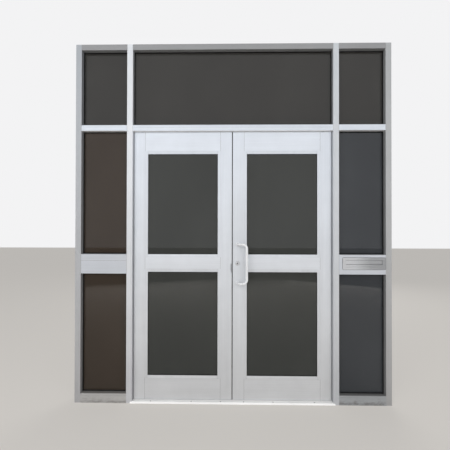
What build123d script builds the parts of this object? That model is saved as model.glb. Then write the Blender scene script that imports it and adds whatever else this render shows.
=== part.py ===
from build123d import *
from collections import namedtuple
from math import cos, radians, sin
import os

os.makedirs("parts", exist_ok=True)

# Aluminium entrance screen with a pair of glazed leaves. Millimetres.
# X runs along the front with zero at the meeting line of the leaves, Y runs from the
# street (negative) to the room (positive) with zero at mid depth, Z is up from the floor.

# Layout of the screen
door_opening_width = 1570.0
door_opening_height = 2134.0
sidelight_width = 361.0
transom_light_height = 593.0
mid_rail_bottom = 1011.0
mid_rail_lower_height = 101.6
mid_rail_upper_height = 50.8

# Framing tubes
face_width = 44.5
frame_depth = 114.3
frame_wall = 2.5
pocket_depth = 14.0
joint_gap = 0.3
filler_wall = 1.6

# Insulating glass and its rubber
glass_thickness = 25.4
pane_thickness = 6.0
spacer_height = 8.0
setting_block_length = 100.0
frame_bite = 11.0
frame_gasket = 4.0
frame_gasket_lip = 8.0
gasket_tuck = 8.0
gasket_edge = 1.2

# Sidelight sills
sill_base_height = 12.0
sill_base_nose = 3.0
sill_bead_height = 16.0
sill_bead_setback = 1.0
sill_bead_bevel = 3.0
bead_wall = 1.8

# Threshold saddle
threshold_height = 12.7
threshold_nose = 6.5
threshold_edge = 4.0
threshold_slope = 8.0
threshold_wing = 14.0
threshold_wall = 3.2
flute_count = 7
flute_pitch = 12.0
flute_width = 3.0
flute_depth = 1.2

# Wall anchors in the jambs
anchor_count = 4
anchor_end = 163.0
anchor_hole_radius = 4.0

# Leaves
leaf_thickness = 44.5
leaf_wall = 3.2
stile_width = 90.0
top_rail_height = 152.5
leaf_mid_rail_height = 96.0
leaf_mid_rail_center = 1091.0
bottom_rail_height = 165.5
meeting_gap = 7.0
jamb_clearance = 2.5
head_clearance = 2.5
floor_clearance = 2.8
heel_radius = 7.0
meeting_edge_radius = 2.5

# Leaf glazing
stop_height = 22.0
stop_chamfer = 1.0
stop_fall = 3.0
leaf_bite = 17.0
leaf_gasket = 3.0
leaf_gasket_lip = 4.0

# Pivots and closers
pivot_inset = 69.85
running_clearance = 0.1
arm_length = 76.0
top_arm_height = 22.0
bottom_arm_height = 25.0
spindle_radius = 9.0
spindle_engagement = 16.0
closer_length = 280.0
closer_width = 70.0
closer_height = 25.0
closer_end = 30.0
spindle_hole_radius = 20.0
pivot_pin_radius = 7.0
pivot_pin_engagement = 18.0
pivot_block_length = 90.0
pivot_block_width = 28.0

# Stop under the transom bar
stop_bar_width = 25.0
stop_bar_drop = 16.0
stop_bar_wall = 2.0
stop_bar_pivot_gap = 75.15
weatherstrip_thickness = 1.7
weatherstrip_height = 9.0
weatherstrip_gap = 0.3

# Seal between the leaves
meeting_seal_width = 5.0
meeting_seal_offset = 15.5
meeting_seal_gap = 0.7

# Offset pull, its ends evenly above and below the lock
lock_height = 1090.0
pull_bar_radius = 9.5
pull_centers = 304.8
pull_backset = 38.5
pull_offset = 71.0
pull_projection = 64.0
pull_bend = 32.0
pull_rose_radius = 15.0
pull_rose_height = 5.0
pull_bolt_radius = 4.0
pull_bolt_depth = 25.0
pull_bolt_head_radius = 8.0
pull_bolt_head_height = 5.0
bolt_hole_clearance = 0.2

# Deadlock
lock_backset = 38.1
deadbolt_drop = 37.0
deadbolt_height = 28.0
deadbolt_thickness = 16.0
deadbolt_length = 56.0
deadbolt_throw = 25.4
deadbolt_recess = 0.5
slide_clearance = 0.3
case_depth = 60.0
case_thickness = 25.0
case_wall = 2.0
case_head = 12.0
faceplate_width = 25.0
faceplate_height = 150.0
cylinder_radius = 14.5
collar_radius = 18.0
collar_height = 6.0
collar_taper = 2.5
plug_radius = 6.35
keyway_width = 1.6
keyway_height = 8.0
keyway_depth = 9.0
cam_thickness = 3.0
cam_boss_radius = 8.0
cam_pin_radius = 2.5
cam_swing = 90.0
fork_play = 0.7
fork_prong = 4.0
fork_thickness = 10.0
turn_neck = 4.0
turn_width = 26.0
turn_height = 9.0
turn_length = 15.0
turn_round = 3.0

# Strike and flush bolts on the other leaf
strike_height = 100.0
strike_clearance = 0.5
strike_notch_width = 8.0
strike_notch_depth = 8.2
strike_notch_height = 66.0
flush_plate_width = 19.0
flush_plate_height = 120.0
flush_plate_inset = 250.0
flush_slot_width = 7.0
flush_slot_height = 44.0
flush_bolt_radius = 5.0
flush_bolt_backset = 12.5
flush_bolt_throw = 15.5
flush_bolt_recess = 1.0
flush_thumb_width = 6.0
flush_thumb_height = 12.0
flush_thumb_rise = 2.5
guide_length = 15.0
guide_reach = 30.0
flush_hole_radius = 6.0

# Mail slot in the right sidelight rail
mail_plate_start = 28.5
mail_plate_end = 2.5
mail_plate_rise = 7.8
mail_plate_height = 92.0
mail_plate_thickness = 3.0
mail_plate_round = 8.0
mail_slot_margin = 23.5
mail_slot_height = 34.0
mail_slot_rise = 9.0
mail_rim_width = 6.0
mail_rim_height = 1.5
mail_ridge_drop = 16.0
mail_ridge_radius = 2.0
flap_lap = 2.0
flap_gap = 0.3
flap_thickness = 2.0
flap_barrel_radius = 3.0
flap_barrel_rise = 4.0
flap_pin_radius = 1.5
flap_pin_reach = 1.2
chute_side_room = 8.5
chute_top_room = 8.0
chute_bottom_room = 7.0
chute_wall = 1.5

# Places that follow from the sizes above
opening_half = door_opening_width / 2
mullion_x = opening_half + face_width / 2
sidelight_start = opening_half + face_width
sidelight_end = sidelight_start + sidelight_width
jamb_x = sidelight_end + face_width / 2
transom_bottom = door_opening_height + face_width
head_bottom = transom_bottom + transom_light_height
overall_height = head_bottom + face_width
front = -frame_depth / 2
mid_rail_height = mid_rail_lower_height + mid_rail_upper_height
mid_rail_top = mid_rail_bottom + mid_rail_height
mid_rail_z = mid_rail_bottom + mid_rail_height / 2
sill_tube_top = sill_base_height + face_width
sill_top = sill_tube_top + sill_bead_height
pocket_width = glass_thickness + 2 * frame_gasket
pane_offset = (glass_thickness - pane_thickness) / 2

leaf_front = -leaf_thickness / 2
leaf_bottom = threshold_height + floor_clearance
leaf_top = door_opening_height - head_clearance
leaf_edge = meeting_gap / 2
leaf_heel = opening_half - jamb_clearance
stile_inner = leaf_edge + stile_width
hinge_stile_inner = leaf_heel - stile_width
bottom_rail_top = leaf_bottom + bottom_rail_height
top_rail_bottom = leaf_top - top_rail_height
leaf_mid_rail_bottom = leaf_mid_rail_center - leaf_mid_rail_height / 2
leaf_mid_rail_top = leaf_mid_rail_center + leaf_mid_rail_height / 2
pivot_x = opening_half - pivot_inset
stop_bar_end = pivot_x - stop_bar_pivot_gap

lock_x = leaf_edge + lock_backset
deadbolt_z = lock_height - deadbolt_drop
fork_x = lock_x + deadbolt_throw / 2

Light = namedtuple("Light", "left right bottom top")


def save(piece, name):
    """Label a finished piece and write it."""
    piece.part.label = name
    export_step(piece.part, f"parts/{name}.step")


def upright(x, z=0.0):
    """Plane for an upright's section: across the face is local X, the depth is local Y."""
    return Plane(origin=(x, 0, z))


def crosswise(x, z):
    """Plane for a rail's section: up is local X, the depth is local Y, the rail runs along +X."""
    return Plane(origin=(x, 0, z), x_dir=(0, 0, 1), z_dir=(1, 0, 0))


def through_depth(x, y, z):
    """Plane whose normal points to the street, for holes and buttons on the faces."""
    return Plane(origin=(x, y, z), x_dir=(1, 0, 0), z_dir=(0, -1, 0))


def frame_tube(plane, width, length, pockets):
    """Extrude a framing tube of even wall, with a glazing pocket on each listed side."""
    with BuildSketch(plane) as section:
        Rectangle(width, frame_depth)
        Rectangle(width - 2 * frame_wall, frame_depth - 2 * frame_wall, mode=Mode.SUBTRACT)
        for side in pockets:
            with Locations((side * (width - pocket_depth - frame_wall) / 2, 0)):
                Rectangle(pocket_depth + frame_wall, pocket_width + 2 * frame_wall)
            with Locations((side * (width - pocket_depth) / 2, 0)):
                Rectangle(pocket_depth, pocket_width, mode=Mode.SUBTRACT)
    extrude(section.sketch, amount=length)


def strips(light, base, side, profile):
    """Run a profile round a light on one side of the glass, cross strips between uprights.

    Each profile point is (reach, rise): reach from the light's edge to its middle,
    rise from the plane y = base away from the glass.
    """
    reach = max(point[0] for point in profile)
    for edge, way in ((light.left, 1), (light.right, -1)):
        corners = [(edge + way * u, side * (base + v)) for u, v in profile]
        with BuildSketch(Plane.XY.offset(light.bottom)) as section:
            Polygon(*corners, align=None)
        extrude(section.sketch, amount=light.top - light.bottom)
    start = light.left + reach + joint_gap
    for edge, way in ((light.bottom, 1), (light.top, -1)):
        corners = [(side * (base + v), edge + way * u) for u, v in profile]
        with BuildSketch(Plane.YZ.offset(start)) as section:
            Polygon(*corners, align=None)
        extrude(section.sketch, amount=light.right - reach - joint_gap - start)


def panes(light, bite):
    """Two panes of a sealed unit whose edges go behind the sightline by the bite."""
    x = (light.left + light.right) / 2
    z = (light.bottom + light.top) / 2
    with Locations((x, -pane_offset, z), (x, pane_offset, z)):
        Box(light.right - light.left + 2 * bite, pane_thickness, light.top - light.bottom + 2 * bite)


def spacer(light, bite):
    """Four edge bars between the panes, flush with the sightline."""
    x = (light.left + light.right) / 2
    z = (light.bottom + light.top) / 2
    width = light.right - light.left
    height = light.top - light.bottom
    air_gap = glass_thickness - 2 * pane_thickness
    with Locations((x, 0, light.bottom - spacer_height / 2), (x, 0, light.top + spacer_height / 2)):
        Box(width + 2 * spacer_height, air_gap, spacer_height)
    with Locations((light.left - spacer_height / 2, 0, z), (light.right + spacer_height / 2, 0, z)):
        Box(spacer_height, air_gap, height - 2 * joint_gap)


def setting_blocks(light, bite, floor):
    """Two rubber blocks that carry a unit at its quarter points."""
    height = light.bottom - bite - floor
    quarter = (light.right - light.left) / 4
    x = (light.left + light.right) / 2
    z = floor + height / 2
    length = min(setting_block_length, quarter)
    with Locations((x - quarter, 0, z), (x + quarter, 0, z)):
        Box(length, glass_thickness, height)


def gasket_profile(width, lip):
    """Section of a wedge gasket: full width in the pocket, thin at the lip on the glass."""
    return [(-gasket_tuck, 0), (lip, 0), (lip, gasket_edge), (0, width), (-gasket_tuck, width)]


# Jambs, with anchor holes through the pocket floor and the outer wall
anchor_spacing = (overall_height - 2 * anchor_end) / (anchor_count - 1)

for name, side in (("jamb_left", -1), ("jamb_right", 1)):
    with BuildPart() as jamb:
        frame_tube(upright(side * jamb_x), face_width, overall_height, [-side])
        with Locations(Plane(origin=(side * jamb_x, 0, overall_height / 2), x_dir=(0, 0, 1), z_dir=(1, 0, 0))):
            with GridLocations(anchor_spacing, 0, anchor_count, 1):
                Hole(anchor_hole_radius)
    save(jamb, name)

# Mullions, pocketed on both sides over their full height
for name, side in (("mullion_left", -1), ("mullion_right", 1)):
    with BuildPart() as mullion:
        frame_tube(upright(side * mullion_x), face_width, overall_height, [-1, 1])
    save(mullion, name)

# Snap-in strips that fill the mullion pockets beside the leaves
with BuildPart() as fillers:
    for side in (-1, 1):
        with BuildSketch(upright(side * (opening_half + pocket_depth / 2))) as section:
            Rectangle(pocket_depth, pocket_width)
            offset(amount=-filler_wall, kind=Kind.INTERSECTION, mode=Mode.SUBTRACT)
        extrude(section.sketch, amount=door_opening_height)
save(fillers, "pocket_fillers")

# Head and transom bars, cut between the uprights
bays = {
    "left": (-sidelight_end, sidelight_width),
    "center": (-opening_half, door_opening_width),
    "right": (sidelight_start, sidelight_width),
}

for bay, (start, length) in bays.items():
    with BuildPart() as head:
        frame_tube(crosswise(start, head_bottom + face_width / 2), face_width, length, [-1])
    save(head, f"head_{bay}")

bar_middle = door_opening_height + face_width / 2

for bay in ("left", "right"):
    with BuildPart() as bar:
        frame_tube(crosswise(bays[bay][0], bar_middle), face_width, bays[bay][1], [-1, 1])
    save(bar, f"transom_bar_{bay}")

# The bar over the leaves has spindle holes and a flush bolt hole in its lower wall
flush_bolt_x = -leaf_edge - flush_bolt_backset

with BuildPart() as header:
    frame_tube(crosswise(-opening_half, bar_middle), face_width, door_opening_width, [1])
    with Locations((-pivot_x, 0, door_opening_height), (pivot_x, 0, door_opening_height)):
        Cylinder(spindle_hole_radius, 2 * frame_wall, mode=Mode.SUBTRACT)
    with Locations((flush_bolt_x, 0, door_opening_height)):
        Cylinder(flush_hole_radius, 2 * frame_wall, mode=Mode.SUBTRACT)
save(header, "transom_bar_center")

# Left sidelight rail: a lower and an upper tube, one on the other
lower_tube_height = mid_rail_lower_height - joint_gap

with BuildPart() as rail_pair:
    frame_tube(
        crosswise(-sidelight_end, mid_rail_bottom + lower_tube_height / 2),
        lower_tube_height, sidelight_width, [-1],
    )
    frame_tube(
        crosswise(-sidelight_end, mid_rail_top - mid_rail_upper_height / 2),
        mid_rail_upper_height, sidelight_width, [1],
    )
save(rail_pair, "mid_rail_left")

# Right sidelight rail: one tall tube, cut through for the mail chute
mail_plate_width = sidelight_width - mail_plate_start - mail_plate_end
mail_center_x = sidelight_start + mail_plate_start + mail_plate_width / 2
mail_center_z = mid_rail_z + mail_plate_rise
mail_slot_width = mail_plate_width - 2 * mail_slot_margin
mail_slot_z = mail_center_z + mail_slot_rise
chute_width = mail_slot_width + 2 * chute_side_room
chute_bottom = mail_slot_z - mail_slot_height / 2 - chute_bottom_room
chute_top = mail_slot_z + mail_slot_height / 2 + flap_barrel_rise + chute_top_room
chute_height = chute_top - chute_bottom
chute_z = (chute_top + chute_bottom) / 2

with BuildPart() as mail_rail:
    frame_tube(
        crosswise(sidelight_start, mid_rail_z),
        mid_rail_height, sidelight_width, [-1, 1],
    )
    with Locations((mail_center_x, 0, chute_z)):
        Box(
            chute_width + 2 * slide_clearance, frame_depth, chute_height + 2 * slide_clearance,
            mode=Mode.SUBTRACT,
        )
save(mail_rail, "mid_rail_right")


def bead_section(side):
    """Hollow glazing bead on the sill, its outer top corner bevelled."""
    inner = pocket_width / 2
    outer = frame_depth / 2 - sill_bead_setback
    base = sill_tube_top + joint_gap
    Polygon(
        (side * inner, base),
        (side * outer, base),
        (side * outer, sill_top - sill_bead_bevel),
        (side * (outer - sill_bead_bevel), sill_top),
        (side * inner, sill_top),
        align=None,
    )
    offset(amount=-bead_wall, kind=Kind.INTERSECTION, mode=Mode.SUBTRACT)


# Sidelight sills: a low channel, the sill tube and two glazing beads
for name, start in (("sill_left", -sidelight_end), ("sill_right", sidelight_start)):
    with BuildPart() as sill:
        with BuildSketch(Plane.YZ.offset(start)):
            with Locations((-sill_base_nose / 2, sill_base_height / 2)):
                Rectangle(frame_depth + sill_base_nose, sill_base_height)
            with Locations((-sill_base_nose / 2, (sill_base_height - frame_wall) / 2)):
                Rectangle(
                    frame_depth + sill_base_nose - 2 * frame_wall, sill_base_height - frame_wall,
                    mode=Mode.SUBTRACT,
                )
        extrude(amount=sidelight_width)
        frame_tube(
            crosswise(start, sill_base_height + joint_gap + (face_width - joint_gap) / 2),
            face_width - joint_gap, sidelight_width, [],
        )
        for side in (-1, 1):
            with BuildSketch(Plane.YZ.offset(start)):
                bead_section(side)
            extrude(amount=sidelight_width)
    save(sill, name)

# Threshold: a ribbed saddle with a sloped nose, notched round the mullions
threshold_front = front - threshold_nose
threshold_length = door_opening_width + 2 * threshold_wing
body_width = frame_depth - 2 * threshold_wall

with BuildPart() as threshold:
    with BuildSketch(Plane.YZ.offset(-threshold_length / 2)):
        Polygon(
            (threshold_front, 0),
            (threshold_front, threshold_edge),
            (threshold_front + threshold_slope, threshold_height),
            (-front, threshold_height),
            (-front, 0),
            align=None,
        )
        with GridLocations(body_width / 2 + threshold_wall / 2, 0, 2, 1):
            with Locations((0, (threshold_height - threshold_wall) / 2)):
                Rectangle(
                    body_width / 2 - threshold_wall / 2, threshold_height - threshold_wall,
                    mode=Mode.SUBTRACT,
                )
        with Locations((0, threshold_height)):
            with GridLocations(flute_pitch, 0, flute_count, 1):
                Rectangle(flute_width, 2 * flute_depth, mode=Mode.SUBTRACT)
    extrude(amount=threshold_length)
    with Locations((-opening_half - threshold_wing / 2, 0, 0), (opening_half + threshold_wing / 2, 0, 0)):
        Box(threshold_wing, frame_depth, 3 * threshold_height, mode=Mode.SUBTRACT)
    with Locations((-pivot_x, 0, 0), (pivot_x, 0, 0)):
        Box(
            pivot_block_length + 2 * slide_clearance, pivot_block_width + 2 * slide_clearance,
            3 * threshold_height, mode=Mode.SUBTRACT,
        )
    with Locations((flush_bolt_x, 0, 0)):
        Cylinder(flush_hole_radius, 3 * threshold_height, mode=Mode.SUBTRACT)
save(threshold, "threshold")

# Glass and rubber of the fixed lights
transom_lights = [
    Light(-sidelight_end, -sidelight_start, transom_bottom, head_bottom),
    Light(-opening_half, opening_half, transom_bottom, head_bottom),
    Light(sidelight_start, sidelight_end, transom_bottom, head_bottom),
]
left_lights = [
    Light(-sidelight_end, -sidelight_start, sill_top, mid_rail_bottom),
    Light(-sidelight_end, -sidelight_start, mid_rail_top, door_opening_height),
]
right_lights = [
    Light(sidelight_start, sidelight_end, sill_top, mid_rail_bottom),
    Light(sidelight_start, sidelight_end, mid_rail_top, door_opening_height),
]

for name, lights in (
    ("transom_glass", transom_lights),
    ("sidelight_glass_left", left_lights),
    ("sidelight_glass_right", right_lights),
):
    with BuildPart() as glass:
        for light in lights:
            panes(light, frame_bite)
    save(glass, name)

with BuildPart() as frame_seals:
    for light in transom_lights + left_lights + right_lights:
        for side in (-1, 1):
            strips(light, glass_thickness / 2, side, gasket_profile(frame_gasket, frame_gasket_lip))
        spacer(light, frame_bite)
        pocket_floor = sill_tube_top if light.bottom == sill_top else light.bottom - pocket_depth
        setting_blocks(light, frame_bite, pocket_floor)
save(frame_seals, "frame_glass_seals")

# Stop bar under the transom bar, cut short where the heels of the leaves swing inward
stop_bar_front = -leaf_front + weatherstrip_gap + weatherstrip_thickness

with BuildPart() as stop_bar:
    with BuildSketch(Plane.YZ.offset(-stop_bar_end)):
        with Locations((stop_bar_front + stop_bar_width / 2, door_opening_height - stop_bar_drop / 2)):
            Rectangle(stop_bar_width, stop_bar_drop)
        offset(amount=-stop_bar_wall, kind=Kind.INTERSECTION, mode=Mode.SUBTRACT)
    extrude(amount=2 * stop_bar_end)
save(stop_bar, "header_stop")

with BuildPart() as weatherstrip:
    with Locations((
        0,
        stop_bar_front - weatherstrip_thickness / 2,
        door_opening_height - stop_bar_drop + weatherstrip_height / 2,
    )):
        Box(2 * stop_bar_end, weatherstrip_thickness, weatherstrip_height)
save(weatherstrip, "header_weatherstrip")

# Concealed closers on the bar's lower wall, bored for the spindles
closer_floor = door_opening_height + frame_wall
closer_x = pivot_x + closer_end - closer_length / 2

with BuildPart() as closers:
    for side in (-1, 1):
        with Locations((side * closer_x, 0, closer_floor + closer_height / 2)):
            Box(closer_length, closer_width, closer_height)
    for side in (-1, 1):
        with Locations((side * pivot_x, 0, closer_floor)):
            Cylinder(
                spindle_radius + running_clearance, 2 * (spindle_engagement + joint_gap),
                mode=Mode.SUBTRACT,
            )
save(closers, "closers")

# Floor pivots let into the threshold
with BuildPart() as floor_pivots:
    pin_length = floor_clearance + pivot_pin_engagement
    for side in (-1, 1):
        with Locations((side * pivot_x, 0, threshold_height / 2)):
            Box(pivot_block_length, pivot_block_width, threshold_height)
        with Locations((side * pivot_x, 0, threshold_height + pin_length / 2)):
            Cylinder(pivot_pin_radius, pin_length)
save(floor_pivots, "floor_pivots")

# Mail plate on the face of the rail
plate_back = front - mail_plate_thickness

with BuildPart() as mail_plate:
    with BuildSketch(through_depth(mail_center_x, front, mail_center_z)):
        RectangleRounded(mail_plate_width, mail_plate_height, mail_plate_round)
    extrude(amount=mail_plate_thickness)
    with BuildSketch(through_depth(mail_center_x, plate_back, mail_slot_z)):
        Rectangle(mail_slot_width + 2 * mail_rim_width, mail_slot_height + 2 * mail_rim_width)
    extrude(amount=mail_rim_height)
    ridge_z = mail_slot_z - mail_slot_height / 2 - mail_ridge_drop
    with Locations(Location((mail_center_x, plate_back, ridge_z), (0, 90, 0))):
        Cylinder(mail_ridge_radius, mail_slot_width)
    with Locations((mail_center_x, front, mail_slot_z)):
        Box(mail_slot_width, 4 * mail_plate_thickness, mail_slot_height, mode=Mode.SUBTRACT)
save(mail_plate, "mail_plate")

# Mail flap behind the plate, hung on a pin along its top edge
flap_front = front + flap_gap
flap_pin_y = flap_front + flap_barrel_radius
flap_pin_z = mail_slot_z + mail_slot_height / 2 + flap_barrel_rise
flap_width = mail_slot_width + 2 * flap_lap
flap_drop = flap_pin_z - (mail_slot_z - mail_slot_height / 2 - flap_lap)

with BuildPart() as mail_flap:
    with Locations((mail_center_x, flap_front + flap_thickness / 2, flap_pin_z - flap_drop / 2)):
        Box(flap_width, flap_thickness, flap_drop)
    with Locations(Location((mail_center_x, flap_pin_y, flap_pin_z), (0, 90, 0))):
        Cylinder(flap_barrel_radius, flap_width)
        Cylinder(flap_pin_radius, chute_width - 2 * chute_wall + 2 * flap_pin_reach)
save(mail_flap, "mail_flap")

# Mail chute: a sleeve through the rail with a frame on the room side
with BuildPart() as mail_chute:
    with BuildSketch(through_depth(mail_center_x, -front, chute_z)):
        Rectangle(chute_width, chute_height)
    extrude(amount=frame_depth)
    with BuildSketch(through_depth(mail_center_x, -front + mail_plate_thickness, mail_center_z)):
        RectangleRounded(mail_plate_width, mail_plate_height, mail_plate_round)
    extrude(amount=mail_plate_thickness)
    with Locations((mail_center_x, 0, chute_z)):
        Box(
            chute_width - 2 * chute_wall, 2 * frame_depth, chute_height - 2 * chute_wall,
            mode=Mode.SUBTRACT,
        )
    with Locations(Location((mail_center_x, flap_pin_y, flap_pin_z), (0, 90, 0))):
        Cylinder(flap_pin_radius + running_clearance, chute_width, mode=Mode.SUBTRACT)
save(mail_chute, "mail_chute")


def stile_section(hand, radius):
    """Leaf stile section whose outer corners, on the side named by hand, are rounded."""
    outline = Rectangle(stile_width, leaf_thickness)
    corners = outline.vertices().group_by(Axis.X)
    fillet(corners[-1] if hand > 0 else corners[0], radius)
    offset(amount=-leaf_wall, kind=Kind.INTERSECTION, mode=Mode.SUBTRACT)


def leaf_rail(hand, bottom, height):
    """Leaf rail tube between the stiles, with a hairline at each joint."""
    start = min(hand * stile_inner, hand * hinge_stile_inner) + joint_gap
    with BuildSketch(crosswise(start, bottom + height / 2)) as section:
        Rectangle(height, leaf_thickness)
        offset(amount=-leaf_wall, kind=Kind.INTERSECTION, mode=Mode.SUBTRACT)
    extrude(section.sketch, amount=hinge_stile_inner - stile_inner - 2 * joint_gap)


leaf_height = leaf_top - leaf_bottom
stop_base = glass_thickness / 2 + leaf_gasket
stop_thickness = leaf_thickness / 2 - stop_base
stop_profile = [
    (0, 0),
    (stop_height, 0),
    (stop_height, stop_thickness - stop_fall - stop_chamfer),
    (stop_height - stop_chamfer, stop_thickness - stop_fall),
    (stop_chamfer, stop_thickness),
    (0, stop_thickness - stop_chamfer),
]
leaf_cavity = leaf_thickness - 2 * leaf_wall
arm_start = hinge_stile_inner + leaf_wall


def leaf_lights(hand):
    """Openings between a leaf's stiles and rails."""
    left = min(hand * stile_inner, hand * hinge_stile_inner)
    right = max(hand * stile_inner, hand * hinge_stile_inner)
    return [
        Light(left, right, bottom_rail_top, leaf_mid_rail_bottom),
        Light(left, right, leaf_mid_rail_top, top_rail_bottom),
    ]


def sightline(light):
    """The part of a leaf opening that the glazing stops leave free."""
    return Light(
        light.left + stop_height, light.right - stop_height,
        light.bottom + stop_height, light.top - stop_height,
    )


for leaf, hand in (("left", -1), ("right", 1)):
    # Hinge stile with a rounded heel
    with BuildPart() as hinge_stile:
        with BuildSketch(upright(hand * (hinge_stile_inner + stile_width / 2), leaf_bottom)):
            stile_section(hand, heel_radius)
        extrude(amount=leaf_height)
    save(hinge_stile, f"{leaf}_hinge_stile")

    # Rails
    for rail, bottom, height in (
        ("top", top_rail_bottom, top_rail_height),
        ("mid", leaf_mid_rail_bottom, leaf_mid_rail_height),
        ("bottom", leaf_bottom, bottom_rail_height),
    ):
        with BuildPart() as rail_tube:
            leaf_rail(hand, bottom, height)
        save(rail_tube, f"{leaf}_{rail}_rail")

    # Glass, stops and rubber
    with BuildPart() as leaf_glass:
        for light in leaf_lights(hand):
            panes(sightline(light), leaf_bite)
    save(leaf_glass, f"{leaf}_glass")

    with BuildPart() as stops:
        for light in leaf_lights(hand):
            for side in (-1, 1):
                strips(light, stop_base, side, stop_profile)
    save(stops, f"{leaf}_glazing_stops")

    with BuildPart() as leaf_seals:
        for light in leaf_lights(hand):
            for side in (-1, 1):
                strips(
                    sightline(light), glass_thickness / 2, side,
                    gasket_profile(leaf_gasket, leaf_gasket_lip),
                )
            spacer(sightline(light), leaf_bite)
            setting_blocks(sightline(light), leaf_bite, light.bottom)
    save(leaf_seals, f"{leaf}_glass_seals")

    # Arm in the top of the stile, with the spindle that turns in the closer
    with BuildPart() as top_arm:
        with Locations((hand * (arm_start + arm_length / 2), 0, leaf_top - top_arm_height / 2)):
            Box(arm_length, leaf_cavity, top_arm_height)
        spindle_length = head_clearance + frame_wall + spindle_engagement
        with Locations((hand * pivot_x, 0, leaf_top + spindle_length / 2)):
            Cylinder(spindle_radius, spindle_length)
    save(top_arm, f"{leaf}_top_arm")

    # Arm in the foot of the stile, bored for the floor pivot's pin
    with BuildPart() as bottom_arm:
        with Locations((hand * (arm_start + arm_length / 2), 0, leaf_bottom + bottom_arm_height / 2)):
            Box(arm_length, leaf_cavity, bottom_arm_height)
        with Locations((hand * pivot_x, 0, leaf_bottom)):
            Cylinder(
                pivot_pin_radius + running_clearance, 2 * (pivot_pin_engagement + joint_gap),
                mode=Mode.SUBTRACT,
            )
    save(bottom_arm, f"{leaf}_bottom_arm")

# Right meeting stile: cut for the lock's faceplate, its cylinders and the pull bolts
faceplate_z = deadbolt_z + deadbolt_drop / 2
pull_x = leaf_edge + pull_backset
pull_ends = [lock_height - pull_centers / 2, lock_height + pull_centers / 2]

with BuildPart() as right_meeting_stile:
    with BuildSketch(upright(leaf_edge + stile_width / 2, leaf_bottom)):
        stile_section(-1, meeting_edge_radius)
    extrude(amount=leaf_height)
    with Locations((leaf_edge, 0, faceplate_z)):
        Box(
            2 * leaf_wall, faceplate_width + 2 * slide_clearance,
            faceplate_height + 2 * slide_clearance, mode=Mode.SUBTRACT,
        )
    with Locations(through_depth(lock_x, leaf_front, lock_height)):
        Hole(cylinder_radius + slide_clearance)
    for z in pull_ends:
        with Locations(through_depth(pull_x, leaf_front, z)):
            Hole(pull_bolt_radius + bolt_hole_clearance)
save(right_meeting_stile, "right_meeting_stile")

# Offset pull: one round bar bent twice at each end, on a rose at each foot
grip_y = leaf_front - pull_projection
grip_x = pull_x + pull_offset

with BuildPart() as pull_handle:
    with BuildLine() as pull_line:
        FilletPolyline(
            (pull_x, leaf_front, pull_ends[0]),
            (pull_x, grip_y, pull_ends[0]),
            (grip_x, grip_y, pull_ends[0]),
            (grip_x, grip_y, pull_ends[1]),
            (pull_x, grip_y, pull_ends[1]),
            (pull_x, leaf_front, pull_ends[1]),
            radius=pull_bend,
        )
    with BuildSketch(through_depth(pull_x, leaf_front, pull_ends[0])):
        Circle(pull_bar_radius)
    sweep()
    for z in pull_ends:
        with BuildSketch(through_depth(pull_x, leaf_front, z)):
            Circle(pull_rose_radius)
        extrude(amount=pull_rose_height)
        with Locations(through_depth(pull_x, leaf_front, z)):
            Cylinder(
                pull_bolt_radius + bolt_hole_clearance, 2 * pull_bolt_depth, mode=Mode.SUBTRACT,
            )
save(pull_handle, "pull_handle")

with BuildPart() as pull_bolts:
    for z in pull_ends:
        with BuildSketch(through_depth(pull_x, -leaf_front + pull_bolt_head_height, z)):
            Circle(pull_bolt_head_radius)
        extrude(amount=pull_bolt_head_height)
        with BuildSketch(through_depth(pull_x, -leaf_front, z)):
            Circle(pull_bolt_radius)
        extrude(amount=leaf_thickness + pull_bolt_depth - joint_gap)
save(pull_bolts, "pull_bolts")

# Lock case: faceplate in the stile's edge and a hollow box behind it
case_start = leaf_edge + leaf_wall
case_bottom = deadbolt_z - deadbolt_height / 2 - slide_clearance - case_wall
case_top = lock_height + cylinder_radius + case_head
case_z = (case_bottom + case_top) / 2

with BuildPart() as lock_case:
    with Locations((leaf_edge + leaf_wall / 2, 0, faceplate_z)):
        Box(leaf_wall, faceplate_width, faceplate_height)
    with Locations((case_start + case_depth / 2, 0, case_z)):
        Box(case_depth, case_thickness, case_top - case_bottom)
        Box(
            case_depth - 2 * case_wall, case_thickness - 2 * case_wall,
            case_top - case_bottom - 2 * case_wall, mode=Mode.SUBTRACT,
        )
    with Locations((leaf_edge, 0, deadbolt_z)):
        Box(
            4 * leaf_wall, deadbolt_thickness + 2 * slide_clearance,
            deadbolt_height + 2 * slide_clearance, mode=Mode.SUBTRACT,
        )
    with Locations(through_depth(lock_x, -case_thickness / 2, lock_height)):
        Hole(cylinder_radius + running_clearance)
save(lock_case, "lock_case")

# Lock cylinders: one with the keyway on the street side, one for the turn inside
barrel_end = case_thickness / 2 - case_wall
collar_face = -leaf_front + collar_height

with BuildPart() as lock_cylinders:
    for side in (-1, 1):
        with BuildSketch(Plane(origin=(lock_x, 0, lock_height), x_dir=(1, 0, 0), z_dir=(0, 0, 1))) as turned:
            Polygon(
                (plug_radius + running_clearance, side * barrel_end),
                (cylinder_radius, side * barrel_end),
                (cylinder_radius, side * -leaf_front),
                (collar_radius, side * -leaf_front),
                (collar_radius - collar_taper, side * collar_face),
                (plug_radius + running_clearance, side * collar_face),
                align=None,
            )
        revolve(turned.sketch, axis=Axis((lock_x, 0, lock_height), (0, 1, 0)))
save(lock_cylinders, "lock_cylinders")

# Deadbolt with a fork on its back that the cam pins push
fork_slot = 2 * (cam_pin_radius + fork_play)
bolt_start = leaf_edge + deadbolt_recess
bolt_top = deadbolt_z + deadbolt_height / 2
cam_radius = deadbolt_throw / (2 * sin(radians(cam_swing / 2)))
cam_pin_z = lock_height - cam_radius * cos(radians(cam_swing / 2))
fork_top = cam_pin_z + cam_pin_radius

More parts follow.
